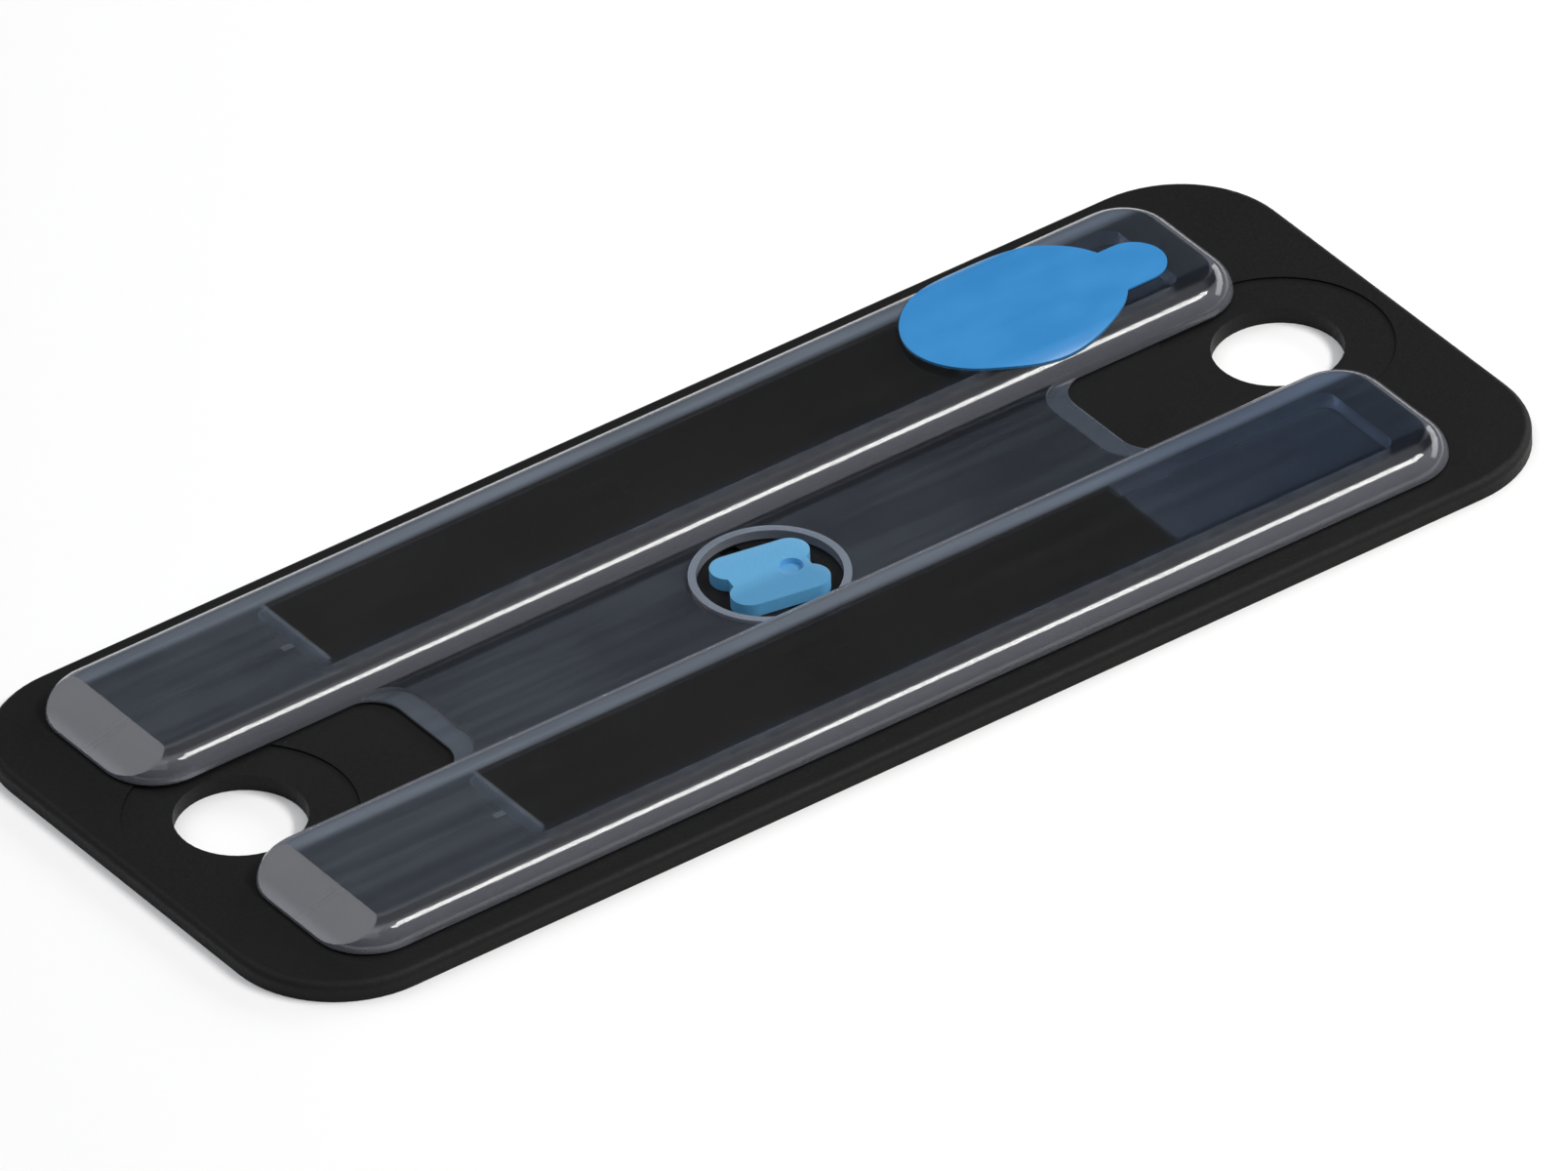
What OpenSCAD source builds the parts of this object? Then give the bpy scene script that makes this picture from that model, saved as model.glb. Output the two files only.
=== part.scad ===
// Two-lane counting chamber (hemocytometer) on a slide-format carrier.
// A clear H-shaped cover stands on a black plate and makes two shallow lanes. Each lane holds a black
// counting bed just under the cover's window. The sample goes in at the well on the web between the
// lanes, which a lobed stopper closes, and the port at the end of the rear lane has a peel-off seal.
// +X runs along the lanes to the port end, +Y to the rear lane, +Z up. The origin is the centre of the
// plate's underside. All sizes are in millimetres.

/* [Base plate] */
// Length of the plate
plate_l = 76; // [70:1:95]
// Width of the plate
plate_w = 31; // [30:1:40]
// Thickness of the plate
plate_t = 1; // [0.8:0.1:2]
// Radius of the plate's corners, seen from above
plate_corner_r = 6; // [4:0.5:8]
// Round on the plate's upper edge
plate_edge_r = 0.4; // [0.2:0.1:0.6]
// Diameter of the two locating holes
hole_d = 6.6; // [4:0.2:7]
// Distance from the plate's end to the centre of each locating hole
hole_inset = 6.9; // [6.5:0.1:9]
// Diameter of the shallow recess round each locating hole
recess_d = 11.6; // [9:0.2:12]
// Depth of that recess
recess_depth = 0.1; // [0.1:0.05:0.4]

/* [Lane cover] */
// Distance from the plate's left end to the foot of the lanes
lane_left_inset = 3.7; // [3:0.1:5]
// Distance from the plate's right end to the foot of the lanes
lane_right_inset = 5.3; // [4:0.1:7]
// Width of a lane at its foot
lane_w = 10.1; // [8.8:0.1:11]
// Gap between the feet of the two lanes
lane_gap = 7.5; // [7:0.1:9]
// Height of the lanes over the plate, which is also the radius of their shoulders
lane_h = 1.5; // [1.3:0.1:2]
// Radius of the lanes' corners, seen from above
lane_corner_r = 3; // [2.5:0.1:3.5]
// Length of the slanted ramp at the left end of each lane
ramp_run = 2.4; // [2:0.1:3]
// Height of the upright lip at the foot of the ramp
ramp_lip = 0.25; // [0.2:0.05:0.5]
// Thickness of the window over the beds
window_t = 0.55; // [0.4:0.05:0.7]
// Thickness of a lane's right end wall at its thickest
end_wall = 3; // [2.6:0.1:4]
// Length of the space inside a lane to the left of its bed; the lane is solid beyond it
cavity_lead = 0.7; // [0.7:0.1:1.5]
// Radius of the corners inside a lane
cavity_corner_r = 0.8; // [0.4:0.1:0.8]

/* [Web] */
// Length of the web between the lanes, at its foot
web_l = 40.5; // [30:0.5:48]
// Height of the web over the plate
web_h = 0.4; // [0.3:0.05:0.8]
// Width of the low step at each end of the web
web_step = 1.3; // [0.8:0.1:2]
// Height of that step over the plate
web_step_h = 0.22; // [0.2:0.01:0.28]
// Radius of the inner corners where the web meets the lanes
web_fillet_r = 1.9; // [1:0.1:2.4]

/* [Sample well] */
// Distance of the well's centre in front of the plate's middle
well_offset = 0.6; // [0:0.1:0.8]
// Outer diameter of the rim round the well
rim_d = 8; // [7.4:0.1:8.2]
// Thickness of the rim
rim_wall = 0.4; // [0.3:0.05:0.5]
// Height of the rim over the web
rim_h = 0.2; // [0.1:0.05:0.5]
// Diameter of the inlet that the stopper closes
inlet_d = 2.2; // [1.6:0.1:2.6]
// Depth of the inlet below the plate's top
inlet_depth = 0.5; // [0.4:0.05:0.6]
// Width of the channel that leads from the inlet to both beds
channel_w = 1; // [0.6:0.1:1.5]
// Depth of that channel
channel_depth = 0.25; // [0.1:0.05:0.3]

/* [Beds] */
// Length of a bed
bed_l = 37.8; // [30:0.2:42]
// Width of a bed
bed_w = 5.7; // [4.5:0.1:6]
// Distance from the web's left foot to the left end of the beds, towards the plate's left end
bed_lead = 1.1; // [0:0.1:2]
// Depth of the pocket that holds a bed
pocket_depth = 0.25; // [0.15:0.05:0.4]
// Thickness of the tape under a bed
tape_t = 0.05; // [0.05:0.05:0.1]
// Depth of the counting gap between a bed and the window
count_gap = 0.1; // [0.05:0.05:0.2]
// Side of one square of the ruling
rule_pitch = 1; // [0.5:0.25:1]
// Squares along each side of the ruling
rule_squares = 3; // [2:1:4]
// Width of a ruled line
rule_w = 0.03; // [0.02:0.01:0.06]
// Depth of a ruled line
rule_depth = 0.02; // [0.01:0.01:0.03]

/* [Bond film] */
// Thickness of the film that bonds the cover to the plate
film_t = 0.1; // [0.05:0.05:0.2]
// Distance from the film's outline to the foot of the cover
film_inset = 0.15; // [0.1:0.05:0.3]
// Width of the vent slit at the left end of each lane
vent_w = 0.4; // [0.2:0.1:0.8]

/* [Port seal] */
// Diameter of the port under the seal
port_d = 4; // [2:0.5:4.5]
// Distance from the port's centre to the plate's right end
port_inset = 16.4; // [14:0.1:18]
// Length of the seal's oval, along the lane
seal_l = 12.2; // [8:0.1:13]
// Width of the seal's oval, across the lane
seal_w = 9.1; // [7:0.1:9.4]
// Thickness of the seal's film
seal_t = 0.1; // [0.1:0.05:0.2]
// Thickness of the adhesive under it
adhesive_t = 0.05; // [0.05:0.05:0.1]
// Gap between the adhesive and the port's edge
adhesive_gap = 0.4; // [0.2:0.1:0.8]
// Width of the pull tab
tab_w = 3.4; // [2.5:0.1:4.5]
// Length of the tab beyond the oval
tab_l = 2.4; // [2:0.1:3.4]
// Distance of the tab's centre line in front of the oval's
tab_offset = 0.6; // [0:0.1:1]

/* [Inlet stopper] */
// Gap between the head's lobes and the wall of the well
head_clear = 0.6; // [0.3:0.05:0.8]
// Height of the stopper's head
head_h = 0.7; // [0.5:0.1:1.2]
// Radius of each of the head's four lobes
lobe_r = 1; // [0.8:0.05:1.1]
// Angle from the head's long axis to the line through opposite lobes
lobe_angle = 37; // [32:1:45]
// Depth of the left and right notches between the lobes
notch_depth = 0.5; // [0.3:0.05:0.7]
// Angle that the stopper is turned to in its bore
head_turn = -11; // [-180:1:180]
// Diameter of the dimple in the head
dimple_d = 1.2; // [0.8:0.1:1.4]
// Depth of the dimple
dimple_depth = 0.3; // [0.1:0.05:0.4]
// Width of the wall between the dimple and the right notch
dimple_wall = 0.35; // [0.2:0.05:0.4]
// Gap between the stem's end and the bottom of the inlet
stem_gap = 0.05; // [0.05:0.05:0.1]

/* [Fits] */
// Clearance on each side of a bed, in its pocket and in the cover
bed_clear = 0.1; // [0.05:0.05:0.2]
// Radial clearance of the stopper's stem in its bore
stem_clear = 0.02; // [0.01:0.01:0.05]

/* [Hidden] */
$fn = 96;

REAR = 1;
FRONT = -1;
eps = 0.01;
// How far a fillet reaches into the solid that it blends into
embed = 0.06;

// Places along X
hole_x = plate_l/2 - hole_inset;
lane_x0 = -plate_l/2 + lane_left_inset;
lane_x1 = plate_l/2 - lane_right_inset;
lane_l = lane_x1 - lane_x0;
lane_mid_x = (lane_x0 + lane_x1)/2;
bed_x0 = -web_l/2 - bed_lead;
bed_mid_x = bed_x0 + bed_l/2;
cavity_x0 = bed_x0 - cavity_lead;
cavity_x1 = lane_x1 - end_wall;
port_x = plate_l/2 - port_inset;

// Places along Y
lane_y = lane_gap/2 + lane_w/2;
cavity_w = bed_w + 2*bed_clear;

// The stopper's head, which fits the well with a gap all round
well_r = rim_d/2 - rim_wall;
lobe_reach = well_r - head_clear - lobe_r;
lobe_x = lobe_reach*cos(lobe_angle);
lobe_y = lobe_reach*sin(lobe_angle);
waist_x = lobe_x + lobe_r - notch_depth;

// Heights
film_z = plate_t;
cover_top = plate_t + lane_h;
ceiling_z = cover_top - window_t;
bed_top = ceiling_z - count_gap;
bed_z = plate_t - pocket_depth + tape_t;

// A rectangle with round corners, centred
module rounded_rect(l, w, r) {
    square([l - 2*r, w], center = true);
    square([l, w - 2*r], center = true);
    for (sx = [-1, 1], sy = [-1, 1])
        translate([sx*(l/2 - r), sy*(w/2 - r)]) circle(r);
}

// The cross-section of a block whose upper edges are rounded
module rounded_section(w, h, edge_r) {
    if (h > edge_r) translate([-w/2, 0]) square([w, h - edge_r]);
    translate([-w/2 + edge_r, 0]) square([w - 2*edge_r, h]);
    for (s = [-1, 1])
        translate([s*(w/2 - edge_r), h - edge_r])
            intersection() {
                circle(edge_r);
                translate([-edge_r, 0]) square([2*edge_r, edge_r]);
            }
}

// A block with round corners and a rounded upper edge, standing on Z = 0
module rounded_block(l, w, h, corner_r, edge_r) {
    rotate([90, 0, 90])
        linear_extrude(l - 2*corner_r, center = true) rounded_section(w, h, edge_r);
    rotate([90, 0, 0])
        linear_extrude(w - 2*corner_r, center = true) rounded_section(l, h, edge_r);
    for (sx = [-1, 1], sy = [-1, 1])
        translate([sx*(l/2 - corner_r), sy*(w/2 - corner_r), 0])
            rotate_extrude()
                intersection() {
                    rounded_section(2*corner_r, h, edge_r);
                    square([corner_r, h]);
                }
}

// The outline of the space inside one lane, less a margin
module cavity_outline(side) {
    translate([(cavity_x0 + cavity_x1)/2, side*lane_y])
        rounded_rect(cavity_x1 - cavity_x0, cavity_w, cavity_corner_r);
}

// The web's outline at one height, shortened at each end, with round inner corners against the lanes
module web_outline(shorten, height) {
    half_l = web_l/2 - shorten;
    reach = lane_gap/2 + lane_h - sqrt(pow(lane_h, 2) - pow(height, 2)) + embed;
    square([2*half_l, lane_gap + lane_h], center = true);
    for (sx = [-1, 1], sy = [-1, 1])
        translate([sx*half_l, sy*reach])
            difference() {
                translate([sx > 0 ? -embed : -web_fillet_r, sy > 0 ? -web_fillet_r : -embed])
                    square(web_fillet_r + embed);
                translate([sx*web_fillet_r, -sy*web_fillet_r]) circle(web_fillet_r);
            }
}

// The shallow recess round a locating hole, clear of the lanes' feet
module recess(sx) {
    difference() {
        translate([sx*hole_x, 0, plate_t - recess_depth]) cylinder(d = recess_d, h = plate_t);
        for (side = [REAR, FRONT])
            translate([lane_mid_x, side*lane_y, 0])
                linear_extrude(2*plate_t) rounded_rect(lane_l, lane_w, lane_corner_r);
    }
}

module base_plate() {
    color([0.11, 0.11, 0.12])
    difference() {
        rounded_block(plate_l, plate_w, plate_t, plate_corner_r, plate_edge_r);
        for (sx = [-1, 1]) {
            translate([sx*hole_x, 0, -eps]) cylinder(d = hole_d, h = plate_t + 2*eps);
            recess(sx);
        }
        for (side = [REAR, FRONT])
            translate([bed_x0 - bed_clear, side*lane_y - cavity_w/2, plate_t - pocket_depth])
                cube([bed_l + 2*bed_clear, cavity_w, plate_t]);
        translate([0, -well_offset, plate_t - inlet_depth]) cylinder(d = inlet_d, h = plate_t);
        translate([-channel_w/2, -lane_y, plate_t - channel_depth])
            cube([channel_w, 2*lane_y, plate_t]);
    }
}

module bed_tape(side) {
    color([0.75, 0.73, 0.66])
    translate([bed_x0, side*lane_y - bed_w/2, plate_t - pocket_depth])
        cube([bed_l, bed_w, tape_t]);
}

// A counting bed with a square ruling in the middle of its upper face
module bed(side) {
    rule_l = rule_squares*rule_pitch + rule_w;
    color([0.13, 0.13, 0.14])
    difference() {
        translate([bed_x0, side*lane_y - bed_w/2, bed_z]) cube([bed_l, bed_w, bed_top - bed_z]);
        translate([bed_mid_x, side*lane_y, bed_top - rule_depth])
            for (i = [0:rule_squares]) {
                offset_i = (i - rule_squares/2)*rule_pitch;
                translate([offset_i - rule_w/2, -rule_l/2, 0]) cube([rule_w, rule_l, rule_depth + eps]);
                translate([-rule_l/2, offset_i - rule_w/2, 0]) cube([rule_l, rule_w, rule_depth + eps]);
            }
    }
}

module bond_film() {
    color([0.15, 0.15, 0.16])
    translate([0, 0, film_z])
        linear_extrude(film_t)
            difference() {
                union() {
                    for (side = [REAR, FRONT])
                        translate([lane_mid_x, side*lane_y])
                            rounded_rect(lane_l - 2*film_inset, lane_w - 2*film_inset,
                                         lane_corner_r - film_inset);
                    square([web_l - 2*film_inset, lane_gap + lane_h], center = true);
                }
                translate([0, -well_offset]) circle(well_r);
                for (side = [REAR, FRONT]) {
                    cavity_outline(side);
                    translate([lane_x0, side*lane_y - vent_w/2])
                        square([cavity_x0 - lane_x0 + cavity_corner_r, vent_w]);
                }
            }
}

// One lane's outer form, with its ramp, from the plate's top face up
module lane_form(side) {
    slope = atan2(lane_h - ramp_lip, ramp_run);
    difference() {
        translate([lane_mid_x, side*lane_y, 0])
            rounded_block(lane_l, lane_w, lane_h, lane_corner_r, lane_h);
        translate([lane_x0, side*lane_y, ramp_lip])
            rotate([0, -slope, 0])
                translate([-lane_h, -lane_w, 0]) cube([3*ramp_run, 2*lane_w, 3*lane_h]);
    }
}

// The web between the lanes, with the rim and the open well
module web_form() {
    difference() {
        union() {
            linear_extrude(web_step_h) web_outline(0, web_step_h);
            linear_extrude(web_h) web_outline(web_step, web_h);
            translate([0, -well_offset, 0]) cylinder(d = rim_d, h = web_h + rim_h);
        }
        translate([0, -well_offset, -eps]) cylinder(r = well_r, h = lane_h);
    }
}

module lane_cover() {
    color([0.8, 0.85, 0.95, 0.35])
    difference() {
        translate([0, 0, plate_t]) {
            for (side = [REAR, FRONT]) lane_form(side);
            web_form();
        }
        // The foot stands on the bond film
        translate([-plate_l, -plate_w, plate_t - eps]) cube([2*plate_l, 2*plate_w, film_t + eps]);
        for (side = [REAR, FRONT])
            translate([0, 0, plate_t])
                linear_extrude(ceiling_z - plate_t) cavity_outline(side);
        translate([port_x, lane_y, plate_t]) cylinder(d = port_d, h = 2*lane_h);
    }
}

// The seal's outline: an oval, with its pull tab if asked for
module seal_outline(with_tab) {
    steps = 72;
    polygon([for (i = [0:steps - 1])
        [seal_l/2*cos(360*i/steps), seal_w/2*sin(360*i/steps)]]);
    if (with_tab)
        translate([0, -tab_offset - tab_w/2]) {
            square([seal_l/2 + tab_l - tab_w/2, tab_w]);
            translate([seal_l/2 + tab_l - tab_w/2, tab_w/2]) circle(tab_w/2);
        }
}

// A thin layer that lies over the lane's window and shoulders, from one height over it to another
module draped_layer(low, high) {
    rotate([90, 0, 90])
        linear_extrude(plate_l, center = true)
            difference() {
                rounded_section(lane_w + 2*high, lane_h + high, lane_h + high);
                rounded_section(lane_w + 2*low, lane_h + low, lane_h + low);
            }
}

module seal_adhesive() {
    color([0.38, 0.5, 0.6])
    translate([port_x, lane_y, plate_t])
        intersection() {
            draped_layer(0, adhesive_t);
            linear_extrude(2*lane_h)
                difference() {
                    seal_outline(false);
                    circle(d = port_d + 2*adhesive_gap);
                }
        }
}

module port_seal() {
    color([0.22, 0.55, 0.8])
    translate([port_x, lane_y, plate_t])
        intersection() {
            draped_layer(adhesive_t, adhesive_t + seal_t);
            linear_extrude(2*lane_h) seal_outline(true);
        }
}

// The outline of the stopper's head: four lobes round a waist
module head_outline() {
    square([2*waist_x, 2*lobe_y], center = true);
    for (sy = [-1, 1])
        translate([0, sy*lobe_y]) square([2*lobe_x, 2*lobe_r], center = true);
    for (sx = [-1, 1], sy = [-1, 1])
        translate([sx*lobe_x, sy*lobe_y]) circle(lobe_r);
}

module inlet_stopper() {
    stem_l = inlet_depth - stem_gap;
    color([0.35, 0.6, 0.8])
    translate([0, -well_offset, plate_t])
        rotate(head_turn)
            difference() {
                union() {
                    linear_extrude(head_h) head_outline();
                    translate([0, 0, -stem_l]) cylinder(d = inlet_d - 2*stem_clear, h = stem_l + eps);
                }
                translate([waist_x - dimple_wall - dimple_d/2, 0, head_h - dimple_depth])
                    cylinder(d = dimple_d, h = head_h);
            }
}

base_plate();
bed_tape(REAR);  // rear_bed_tape
bed_tape(FRONT);  // front_bed_tape
bed(REAR);  // rear_bed
bed(FRONT);  // front_bed
bond_film();
lane_cover();
seal_adhesive();
port_seal();
inlet_stopper();
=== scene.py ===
import math

import bpy
from mathutils import Matrix, Vector


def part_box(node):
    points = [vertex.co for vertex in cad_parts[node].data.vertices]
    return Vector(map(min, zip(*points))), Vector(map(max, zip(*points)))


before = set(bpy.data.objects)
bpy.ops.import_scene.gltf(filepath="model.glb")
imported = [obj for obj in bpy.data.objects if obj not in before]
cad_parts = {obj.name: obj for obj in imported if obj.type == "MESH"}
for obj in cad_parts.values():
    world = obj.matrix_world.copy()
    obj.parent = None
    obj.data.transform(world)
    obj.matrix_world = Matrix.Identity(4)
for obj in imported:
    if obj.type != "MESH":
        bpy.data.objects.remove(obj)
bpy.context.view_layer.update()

MM = 0.001

# ------------------------------------------------------------------ camera
# A very long lens, almost without perspective. The three angles are in degrees.
IMAGE_W = 1607
CAMERA_AZIMUTH, CAMERA_ELEVATION, CAMERA_ROLL = -34.66, 35.64, -2.38
LENS_MM, SENSOR_MM = 900.0, 36.0
PIXELS_PER_MM = 21.13
CLIP_START_M, CLIP_END_M = 0.1, 10
# Where the object's origin falls in the picture, from the picture's centre, right and up
ORIGIN_RIGHT_MM, ORIGIN_UP_MM = -0.98, -0.43


def make_camera():
    az, el, roll = map(math.radians, (CAMERA_AZIMUTH, CAMERA_ELEVATION, CAMERA_ROLL))
    forward = Vector((-math.sin(az)*math.cos(el), math.cos(az)*math.cos(el), -math.sin(el)))
    flat_right = Vector((math.cos(az), math.sin(az), 0))
    flat_up = flat_right.cross(forward)
    right = flat_right*math.cos(roll) + flat_up*math.sin(roll)
    up = flat_up*math.cos(roll) - flat_right*math.sin(roll)
    distance = LENS_MM/SENSOR_MM*IMAGE_W/PIXELS_PER_MM*MM
    aim = -right*ORIGIN_RIGHT_MM*MM - up*ORIGIN_UP_MM*MM
    data = bpy.data.cameras.new("camera")
    data.lens = LENS_MM
    data.sensor_width = SENSOR_MM
    data.clip_start, data.clip_end = CLIP_START_M, CLIP_END_M
    cam = bpy.data.objects.new("camera", data)
    bpy.context.scene.collection.objects.link(cam)
    turn = Matrix((right, up, -forward)).transposed()
    cam.matrix_world = Matrix.Translation(aim - forward*distance) @ turn.to_4x4()
    bpy.context.scene.camera = cam


make_camera()


# ------------------------------------------------------------------ materials
ALONG_LANES = (0.05, 1, 1)      # stretches a texture along X


def grey(level):
    return (level, level, level)


class Look:
    """A material with one Principled shader, and short ways to make the nodes that feed it."""

    def __init__(self, name, **sockets):
        self.mat = bpy.data.materials.new(name)
        self.mat.use_nodes = True
        self.tree = self.mat.node_tree
        self.shader = self.tree.nodes["Principled BSDF"]
        for socket, value in sockets.items():
            self.set(socket.replace("_", " "), value)
        coords = self.add("ShaderNodeTexCoord")
        self.place = coords.outputs["Object"]
        self.x, self.y, self.z = self.split(self.place)
        # How far a face looks towards the rear and up, from -1 to 1
        self.rearward, self.up = self.split(coords.outputs["Normal"])[1:]

    def add(self, kind, **settings):
        node = self.tree.nodes.new(kind)
        for name, value in settings.items():
            setattr(node, name, value)
        return node

    def feed(self, socket, value):
        if isinstance(value, bpy.types.NodeSocket):
            self.tree.links.new(value, socket)
        else:
            socket.default_value = value

    def set(self, socket, value):
        self.feed(self.shader.inputs[socket], value)

    def split(self, vector):
        node = self.add("ShaderNodeSeparateXYZ")
        self.feed(node.inputs[0], vector)
        return tuple(node.outputs)

    def maths(self, operation, a, b=0.0):
        node = self.add("ShaderNodeMath", operation=operation)
        self.feed(node.inputs[0], a)
        self.feed(node.inputs[1], b)
        return node.outputs[0]

    def total(self, first, *more):
        for value in more:
            first = self.maths("ADD", first, value)
        return first

    def product(self, first, *more):
        for value in more:
            first = self.maths("MULTIPLY", first, value)
        return first

    def ramp(self, value, low, high, start=0.0, end=1.0):
        """start where value is below low and end where it is above high, smooth between them."""
        node = self.add("ShaderNodeMapRange", interpolation_type="SMOOTHSTEP")
        for socket, number in zip(node.inputs, (value, low, high, start, end)):
            self.feed(socket, number)
        return node.outputs[0]

    def fade(self, value, low, high, start=1.0):
        """start where value is below low and 0 where it is above high."""
        return self.ramp(value, low, high, start, 0.0)

    def band(self, value, low, high, soft):
        """1 between low and high and 0 outside them."""
        return self.product(self.ramp(value, low - soft, low + soft),
                            self.fade(value, high - soft, high + soft))

    def noise(self, size, detail=2.0, stretch=(1, 1, 1)):
        """Noise from 0 to 1, with blobs of about this size."""
        mapping = self.add("ShaderNodeMapping")
        self.feed(mapping.inputs["Vector"], self.place)
        mapping.inputs["Scale"].default_value = stretch
        node = self.add("ShaderNodeTexNoise")
        self.feed(node.inputs["Vector"], mapping.outputs[0])
        node.inputs["Scale"].default_value = 1/size
        node.inputs["Detail"].default_value = detail
        return node.outputs["Fac"]

    def spread(self, noise, start, end):
        """Most of the noise's swing, stretched to go from start to end."""
        return self.ramp(noise, 0.3, 0.7, start, end)

    def colours(self, share, first, second):
        """A colour that goes from first to second as share goes from 0 to 1."""
        node = self.add("ShaderNodeMix", data_type="RGBA")
        self.feed(node.inputs["Factor"], share)
        made_by_nodes = isinstance(first, bpy.types.NodeSocket)
        self.feed(node.inputs["A"], first if made_by_nodes else (*first, 1))
        self.feed(node.inputs["B"], (*second, 1))
        return next(o for o in node.outputs if o.type == "RGBA")

    def bump(self, height, depth):
        node = self.add("ShaderNodeBump")
        node.inputs["Distance"].default_value = depth
        self.feed(node.inputs["Height"], height)
        self.set("Normal", node.outputs[0])


def plate_look():
    """Black moulded plastic with a fine spark-eroded texture, a little duller along its edges, which
    are painted a touch lighter as a faint painted sheen.
    """
    look = Look("plate_plastic", Specular_IOR_Level=0.18)
    grain = look.noise(0.16*MM, 3)
    cloud = look.noise(9*MM, 3)
    edge_sheen_and_dullness = look.product(look.band(look.up, 0.25, 0.93, 0.08), look.ramp(cloud, 0.35, 0.6, 0.6, 1.0))
    body = look.colours(cloud, grey(0.005), grey(0.0085))
    # The rounded edges are painted a touch lighter: a faint painted sheen.
    look.set("Base Color", look.colours(edge_sheen_and_dullness, body, (0.01, 0.01, 0.0105)))
    dullness = look.ramp(grain, 0.2, 0.8, 0.45, 0.62)
    look.set("Roughness", look.total(dullness, look.product(edge_sheen_and_dullness, 0.12)))
    look.bump(look.total(grain, look.product(look.noise(1.1*MM), 0.6)), 0.012*MM)
    return look.mat


def bed_look():
    """Black plastic, lapped flat, with faint grinding marks along it."""
    look = Look("bed_plastic", Specular_IOR_Level=0.15)
    marks = look.noise(0.12*MM, 2, (0.04, 1, 1))
    cloud = look.noise(5*MM)
    look.set("Base Color", look.colours(look.product(marks, cloud), grey(0.004), grey(0.009)))
    look.set("Roughness", look.spread(marks, 0.3, 0.42))
    look.bump(marks, 0.003*MM)
    return look.mat


def tape_look():
    """Cream tissue tape: crossed fibres in glue."""
    look = Look("tape", Roughness=0.7)
    lengthwise, crosswise = (look.noise(0.1*MM, 2, way) for way in ((0.15, 1, 1), (1, 0.15, 1)))
    fibres = look.maths("MAXIMUM", lengthwise, crosswise)
    look.set("Base Color", look.colours(fibres, (0.32, 0.29, 0.22), (0.62, 0.6, 0.52)))
    look.bump(fibres, 0.01*MM)
    return look.mat


# How milky the clear plastic is: the share of the light that it scatters and doesn't let through;
# some shares are painted sheen and highlights
MILK_LEFT, MILK_RIGHT = 0.05, 0.025             # flat faces, at the ramp end and at the port end
WINDOW_SHARE, FRONT_SHARE = 0.17, 0.8           # how much stays over a bed, and how clear in front
REAR_STRIP_SHEEN, BED_END_HIGHLIGHT = 0.12, 0.05           # painted sheen added behind each bed, and a painted highlight line at its left end
MILK_STEP, RIM_HIGHLIGHT = 0.05, 0.2                 # added on the web's step, and a painted highlight on the well's rim
SLOPE_MILK_AND_SHEEN, REAR_SLOPE_SHEEN, MILK_FRONT = 0.11, 0.2, 0.01     # slopes: milk and painted sheen, more painted sheen on those facing the rear, least on those facing the front
RAMP_FOOT_HIGHLIGHT, MILK_WEB_EDGE = 0.07, 0.2       # a painted highlight added low on the ramps, and milk added on the web's edges
FLAT_FROM, FLAT_AT = 0.95, 0.985                # how far up a face looks where it counts as flat

PLATE_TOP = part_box("base_plate")[1][2]
COVER_LOW, COVER_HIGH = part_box("lane_cover")
BEDS = [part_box(side + "_bed") for side in ("rear", "front")]
BED_TO_WEB = 2.1*MM
LANE_INNER_Y = BEDS[0][0][1] - BED_TO_WEB
STRIP_W = 3*MM                                  # reaches past the lane's side
EDGE_BLUR = 0.08*MM


def bed_zones(look, low, high):
    """Where the cover is over a bed, at its left end, behind it and in front of it."""
    across = look.band(look.y, low[1], high[1], EDGE_BLUR)
    window = look.product(across, look.band(look.x, low[0], high[0], EDGE_BLUR))
    end_line = look.band(look.x, low[0] - 0.25*MM, low[0] - 0.05*MM, 0.06*MM)
    behind = look.band(look.y, high[1] + 0.1*MM, high[1] + STRIP_W, 0.3*MM)
    front = look.band(look.y, low[1] - STRIP_W, low[1], 0.2*MM)
    past_end = look.ramp(look.x, low[0] - 1*MM, low[0])
    return window, look.product(across, end_line), behind, look.product(front, past_end)


def flat_milk_and_sheen(look, flow, cloud, facing_up, zones):
    windows, end_lines, behind, in_front = zones
    patchy = look.product(look.spread(flow, 0.8, 1.25), look.spread(cloud, 0.85, 1.15))
    clear = look.total(windows, look.product(in_front, FRONT_SHARE))
    body = look.product(look.ramp(look.x, COVER_LOW[0], COVER_HIGH[0], MILK_LEFT, MILK_RIGHT),
                        patchy, look.ramp(clear, 0.0, 1.0, 1.0, WINDOW_SHARE))
    step = look.fade(look.z, PLATE_TOP + 0.25*MM, PLATE_TOP + 0.35*MM, MILK_STEP)
    rim = look.band(look.z, PLATE_TOP + 0.5*MM, PLATE_TOP + 0.7*MM, 0.03*MM)
    lane_top = look.ramp(look.z, COVER_HIGH[2] - 0.1*MM, COVER_HIGH[2])
    # Added to the haze: a painted highlight line at each bed's left end, a painted highlight on the
    # well's rim and painted sheen on the strips behind the beds
    return look.total(body,
                      look.product(end_lines, BED_END_HIGHLIGHT),
                      look.product(step, facing_up),
                      look.product(rim, facing_up, RIM_HIGHLIGHT),
                      look.product(behind, lane_top, look.spread(flow, 0.8, 1.2), REAR_STRIP_SHEEN))


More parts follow.
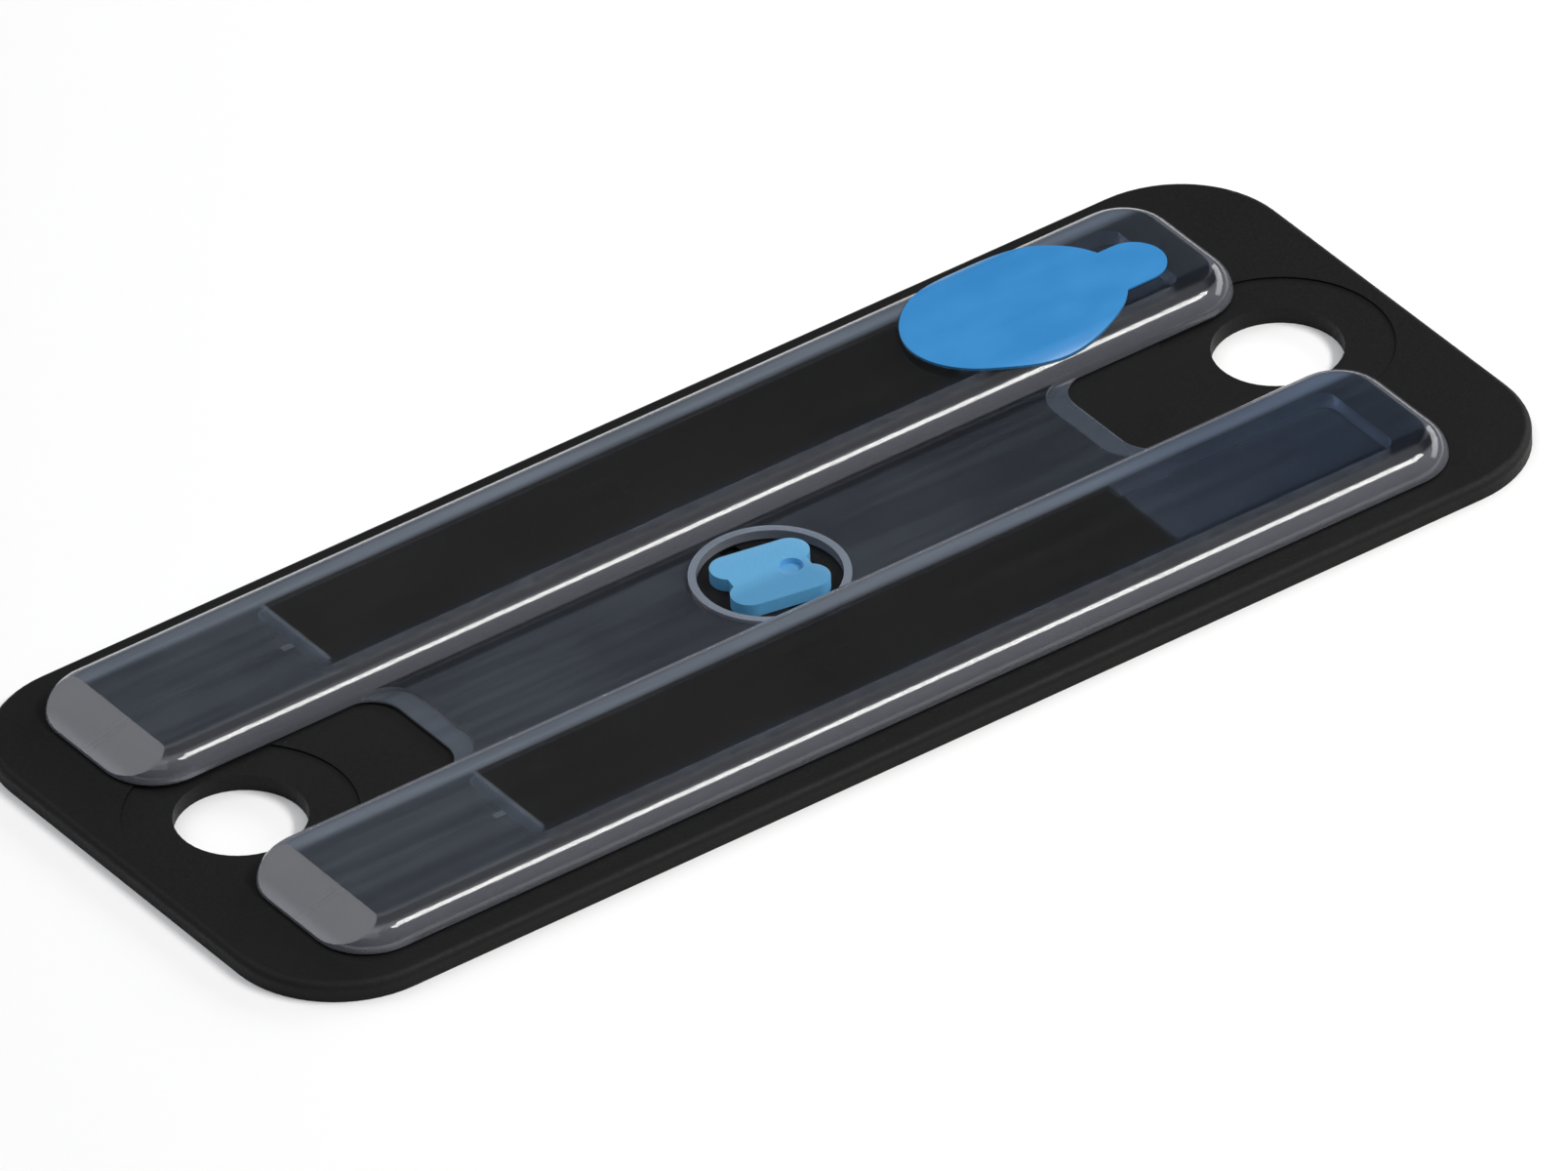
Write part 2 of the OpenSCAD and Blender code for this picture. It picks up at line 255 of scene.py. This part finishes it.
def slope_milk_and_sheen(look):
    """Milk and painted sheen on the slopes, set by which way they face: the painted sheen is
    strongest on slopes that face the rear, those that face the front start clear, and a painted
    highlight runs low on the ramps.
    """
    ramps = look.fade(look.x, COVER_LOW[0] + 3*MM, COVER_LOW[0] + 4*MM)
    # A painted highlight low on the ramps, near their foot
    foot = look.fade(look.z, PLATE_TOP + 0.3*MM, PLATE_TOP + 0.6*MM, RAMP_FOOT_HIGHLIGHT)
    # Slopes that face the rear get more painted sheen
    rear_sheen_mask = look.ramp(look.rearward, 0.05, 0.3)
    front_top = look.product(look.fade(look.rearward, -0.3, -0.1), look.ramp(look.up, 0.78, 0.88))
    return look.total(look.product(ramps, foot),
                      look.ramp(rear_sheen_mask, 0.0, 1.0, SLOPE_MILK_AND_SHEEN, REAR_SLOPE_SHEEN),
                      look.product(front_top, MILK_FRONT - SLOPE_MILK_AND_SHEEN))


def cover_look():
    """Clear moulded plastic, slightly milky except in the polished windows over the beds, with
    painted sheen and painted highlights drawn as extra milk.
    """
    look = Look("clear_plastic", IOR=1.49)
    facing_up = look.ramp(look.up, 0.0, 0.05)
    flat = look.ramp(look.up, FLAT_FROM, FLAT_AT)
    zones = [look.total(*pair) for pair in zip(*(bed_zones(look, *bed) for bed in BEDS))]
    flow = look.noise(0.9*MM, 3, ALONG_LANES)
    cloud = look.noise(6*MM, 2)
    web_edge = look.product(look.band(look.up, -0.05, 0.05, 0.01),
                            look.band(look.y, -LANE_INNER_Y, LANE_INNER_Y, 0.1*MM),
                            look.ramp(flow, 0.0, 1.0, 0.8, 1.2), MILK_WEB_EDGE)
    # Haze plus the painted sheen and painted highlights on slopes, rim and bed strips
    milk_and_sheen = look.total(look.product(flat, flat_milk_and_sheen(look, flow, cloud, facing_up, zones)),
                      look.product(look.fade(flat, 0.0, 1.0), facing_up, slope_milk_and_sheen(look)),
                      web_edge)
    # The underside is dark with glue. A ray inside the plastic sees its normal turned round.
    level = look.ramp(look.maths("ABSOLUTE", look.up), 0.9, 0.95)
    lowest = look.fade(look.z, COVER_LOW[2] + 0.02*MM, COVER_LOW[2] + 0.05*MM)
    glued = look.product(level, lowest)
    shut = look.maths("MAXIMUM", milk_and_sheen, glued)
    look.set("Transmission Weight", look.maths("SUBTRACT", 1.0, shut))
    # Bluer towards the port end, most of all on the front lane
    bluer = look.product(look.ramp(look.x, 5*MM, 30*MM),
                         look.ramp(look.y, -6*MM, -2*MM, 1.0, 0.4), flat)
    milky = look.colours(flat, (0.8, 0.84, 0.96), (0.7, 0.82, 1.0))
    milky = look.colours(bluer, milky, (0.5, 0.68, 1.0))
    clear = look.colours(zones[0], milky, grey(0.88))
    look.set("Base Color", look.colours(glued, clear, (0.01, 0.01, 0.0115)))
    look.set("Roughness", look.ramp(flat, 0.0, 1.0, 0.1, 0.03))
    look.bump(look.total(look.product(flow, 0.3), cloud), 0.002*MM)
    return look.mat


def bond_look():
    """Dark bonding film, seen through the feet of the lanes."""
    look = Look("bond_film", Roughness=0.4, Specular_IOR_Level=0.2)
    cloud = look.noise(1.6*MM, 3)
    look.set("Base Color", look.colours(cloud, (0.008, 0.008, 0.009), (0.015, 0.015, 0.017)))
    look.bump(cloud, 0.01*MM)
    return look.mat


def adhesive_look():
    """Milky adhesive with small bubbles."""
    look = Look("adhesive", Roughness=0.35)
    bubbles = look.ramp(look.noise(0.3*MM, 1), 0.6, 0.66)
    look.set("Base Color", look.colours(bubbles, (0.07, 0.16, 0.25), (0.16, 0.27, 0.36)))
    look.bump(bubbles, 0.01*MM)
    return look.mat


SEAL_MIDDLE = sum(corner[0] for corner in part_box("port_seal"))/2


def seal_look():
    """Blue satin film with fine grain and shallow waves, and a painted highlight where it drapes over
    the shoulder at its right.
    """
    look = Look("seal_film", Coat_Weight=0.15, Coat_Roughness=0.3)
    grain = look.noise(0.12*MM, 3)
    waves = look.noise(2.2*MM, 2, (0.6, 1, 1))
    body = look.colours(look.ramp(waves, 0.25, 0.75), (0.028, 0.225, 0.54), (0.04, 0.26, 0.6))
    # A painted highlight where the film drapes over the lane's shoulder, at its right
    drape_highlight = look.product(look.fade(look.up, 0.8, 0.97), look.ramp(look.up, 0.1, 0.2),
                          look.ramp(look.x, SEAL_MIDDLE, SEAL_MIDDLE + 3*MM))
    look.set("Base Color", look.colours(drape_highlight, body, (0.12, 0.38, 0.66)))
    look.set("Roughness", look.ramp(grain, 0.2, 0.8, 0.34, 0.46))
    look.bump(look.total(look.product(grain, 0.1), waves), 0.03*MM)
    return look.mat


def stopper_look():
    """Blue silicone rubber with a fine matt texture, with painted shade towards the front of its top
    and a painted sheen on its side walls.
    """
    look = Look("stopper_rubber", Subsurface_Weight=0.08)
    low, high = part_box("inlet_stopper")
    width = high[1] - low[1]
    grain = look.noise(0.14*MM, 3)
    # Painted shade: the front of the top is darker
    front = look.fade(look.y, low[1] + 0.3*width, low[1] + 0.6*width)
    mottled = look.colours(grain, (0.1, 0.34, 0.58), (0.13, 0.39, 0.65))
    top = look.colours(look.product(front, 0.8), mottled, (0.07, 0.25, 0.45))
    # Painted sheen: the side walls are lighter
    side_sheen = look.product(look.fade(look.up, 0.2, 0.7), look.ramp(look.up, -0.3, -0.1))
    look.set("Base Color", look.colours(side_sheen, top, (0.13, 0.44, 0.78)))
    look.set("Roughness", look.ramp(grain, 0.2, 0.8, 0.42, 0.58))
    look.bump(grain, 0.012*MM)
    return look.mat


def put(node, mat):
    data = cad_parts[node].data
    data.materials.clear()
    data.materials.append(mat)


# ------------------------------------------------------------------ studio
SKY_COLOUR = (0.94, 0.96, 1.0, 1)
SKY_TOP, SKY_RING, BACKDROP = 0.8, 0.045, 1.0
RING_ENDS, CEILING_STARTS = 0.68, 0.86          # heights in the sky, 0 at the horizon to 1
FLOOR_M = 6

# Each light's direction from the object, distance and size in metres, power in watts and colour
LIGHTS = {
    "key": ((0.46, -0.46, 0.76), 0.5, (0.3, 0.09), 1.6, (1.0, 0.98, 0.95)),
    "side": ((0.93, 0.05, 0.33), 0.5, (0.5, 0.14), 0.9, (1, 1, 1)),
    "back": ((-0.3, 0.7, 0.6), 0.5, (0.3, 0.3), 0.45, (1, 1, 1)),
    "fill": ((-0.5, -0.6, 0.9), 0.6, (0.4, 0.4), 0.4, (1, 1, 1)),
}


def area_light(name, direction, distance, size, power, colour):
    data = bpy.data.lights.new(name, "AREA")
    data.shape = "RECTANGLE"
    data.size, data.size_y = size
    data.energy = power
    data.color = colour
    light = bpy.data.objects.new(name, data)
    bpy.context.scene.collection.objects.link(light)
    direction = Vector(direction).normalized()
    light.location = direction*distance
    light.rotation_mode = "QUATERNION"
    light.rotation_quaternion = direction.to_track_quat("Z", "Y")


def make_world():
    """A soft bright ceiling over a dim ring, which polished flat tops mirror, and a pale backdrop."""
    world = bpy.data.worlds.new("studio")
    bpy.context.scene.world = world
    world.use_nodes = True
    tree = world.node_tree
    back = tree.nodes["Background"]
    coords = tree.nodes.new("ShaderNodeTexCoord")
    axes = tree.nodes.new("ShaderNodeSeparateXYZ")
    tree.links.new(coords.outputs["Generated"], axes.inputs[0])
    sky = tree.nodes.new("ShaderNodeMapRange")
    sky.interpolation_type = "SMOOTHSTEP"
    tree.links.new(axes.outputs["Z"], sky.inputs["Value"])
    sky.inputs["From Min"].default_value = RING_ENDS
    sky.inputs["From Max"].default_value = CEILING_STARTS
    sky.inputs["To Min"].default_value = SKY_RING
    sky.inputs["To Max"].default_value = SKY_TOP
    path = tree.nodes.new("ShaderNodeLightPath")
    seen = tree.nodes.new("ShaderNodeMix")
    tree.links.new(path.outputs["Is Camera Ray"], seen.inputs["Factor"])
    tree.links.new(sky.outputs[0], seen.inputs["A"])
    seen.inputs["B"].default_value = BACKDROP
    tree.links.new(seen.outputs[0], back.inputs["Strength"])
    back.inputs["Color"].default_value = SKY_COLOUR


def make_studio():
    make_world()
    for name, setup in LIGHTS.items():
        area_light(name, *setup)

    bpy.ops.mesh.primitive_plane_add(size=FLOOR_M)
    floor = bpy.context.object
    floor.name = "floor"
    look = Look("floor", Base_Color=(*grey(0.97), 1), Roughness=0.9, Specular_IOR_Level=0.0)
    floor.data.materials.append(look.mat)
    bpy.context.scene.view_settings.view_transform = "Standard"


make_studio()

put("base_plate", plate_look())
bed_mat, tape_mat = bed_look(), tape_look()
for side in ("rear", "front"):
    put(side + "_bed", bed_mat)
    put(side + "_bed_tape", tape_mat)
put("lane_cover", cover_look())
put("bond_film", bond_look())
put("seal_adhesive", adhesive_look())
put("port_seal", seal_look())
put("inlet_stopper", stopper_look())

# The film wets the cover's foot: it is thicker by a hair, so that their faces don't coincide
WETTING = 0.003*MM
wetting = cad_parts["bond_film"].modifiers.new("wetting", "DISPLACE")
wetting.strength, wetting.mid_level = WETTING, 0.0
